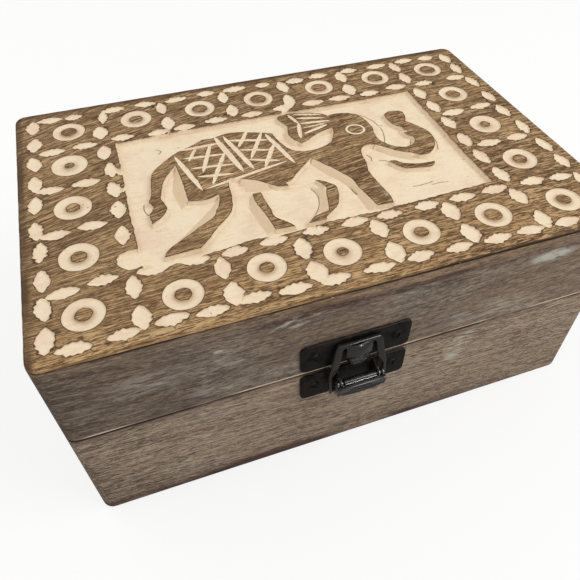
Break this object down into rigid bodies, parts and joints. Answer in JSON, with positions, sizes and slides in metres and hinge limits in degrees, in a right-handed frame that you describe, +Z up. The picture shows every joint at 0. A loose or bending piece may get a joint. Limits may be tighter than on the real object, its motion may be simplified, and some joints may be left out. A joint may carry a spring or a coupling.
{
  "type": "trinket box",
  "caption": "Hinged wooden trinket box with a carved and whitewashed elephant and ring border on its lid, and a blackened iron draw latch on its front.",
  "frame": {"origin": "middle of the flat underside of the base, where the box rests", "axes": "+Z up, +X along the box's length towards its right-hand end, -Y towards the latch at the front"},
  "size_m": [0.18, 0.133, 0.08],
  "materials": {
    "carved_wood": "stained top with cream limewash left in the carved cuts",
    "weathered_wood": "brown stain, dry and weathered, with faint whitewash smudges",
    "plain_wood": "bare planed wood",
    "blackened_iron": "blackened, semi-gloss, worn at the edges"
  },
  "bodies": {
    "base": {"base_front_board": "weathered_wood", "base_back_board": "weathered_wood", "base_left_board": "weathered_wood", "base_right_board": "weathered_wood", "base_bottom_board": "plain_wood", "latch_base_plate": "blackened_iron", "latch_pivot_pin": "blackened_iron", "latch_base_screw_left": "blackened_iron", "latch_base_screw_right": "blackened_iron", "hinge_left_base_leaf": "blackened_iron", "hinge_left_pin": "blackened_iron", "hinge_right_base_leaf": "blackened_iron", "hinge_right_pin": "blackened_iron", "hinge_left_base_screw_left": "blackened_iron", "hinge_left_base_screw_right": "blackened_iron", "hinge_right_base_screw_left": "blackened_iron", "hinge_right_base_screw_right": "blackened_iron"},
    "lid": {"lid_front_board": "weathered_wood", "lid_back_board": "weathered_wood", "lid_left_board": "weathered_wood", "lid_right_board": "weathered_wood", "lid_top_board": "carved_wood", "latch_lid_plate": "blackened_iron", "latch_lid_screw_left": "blackened_iron", "latch_lid_screw_right": "blackened_iron", "hinge_left_lid_leaf": "blackened_iron", "hinge_right_lid_leaf": "blackened_iron", "hinge_left_lid_screw_left": "blackened_iron", "hinge_left_lid_screw_right": "blackened_iron", "hinge_right_lid_screw_left": "blackened_iron", "hinge_right_lid_screw_right": "blackened_iron"},
    "lever": {"latch_lever": "blackened_iron"},
    "bail": {"latch_bail": "blackened_iron"}
  },
  "joints": [
    {"name": "lid_hinge", "type": "hinge", "parent": "base", "child": "lid", "pos_m": [0, 0.0623, 0.046], "axis": [-1, 0, 0], "range_deg": [0, 180]},
    {"name": "latch_lever_pivot", "type": "hinge", "parent": "base", "child": "lever", "pos_m": [-0.003, -0.065, 0.0427], "axis": [-1, 0, 0], "range_deg": [0, 90]},
    {"name": "latch_bail_pivot", "type": "hinge", "parent": "lever", "child": "bail", "pos_m": [-0.003, -0.0634, 0.0382], "axis": [1, 0, 0], "range_deg": [0, 198]}
  ],
  "couplings": [
    {"joint": "latch_bail_pivot", "follows": "latch_lever_pivot", "ratio": 2.2}
  ]
}
